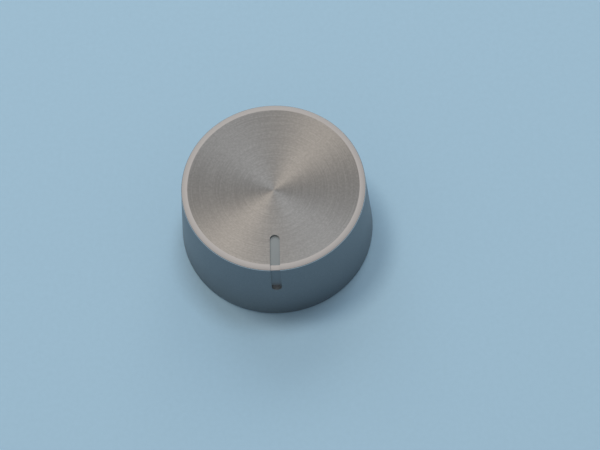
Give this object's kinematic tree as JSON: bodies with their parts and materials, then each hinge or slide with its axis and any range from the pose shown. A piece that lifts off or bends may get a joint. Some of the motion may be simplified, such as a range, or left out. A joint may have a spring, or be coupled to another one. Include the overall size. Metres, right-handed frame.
{
  "type": "control knob",
  "caption": "Turned aluminium control knob with a dished spun face, a bright lip, a tapered side and a milled index groove, bored for a round shaft and locked by a grub screw.",
  "frame": {"origin": "centre of the base, on the knob's axis", "axes": "+Z along the knob's axis from the base to the face, and the index groove points to -Y"},
  "size_m": [0.032, 0.032, 0.0152],
  "materials": {
    "turned_aluminium": "spun face, bright turned lip, bead-blasted side",
    "blackened_steel": "black oxide"
  },
  "bodies": {
    "root": {"knob_body": "turned_aluminium", "grub_screw": "blackened_steel"}
  },
  "joints": []
}
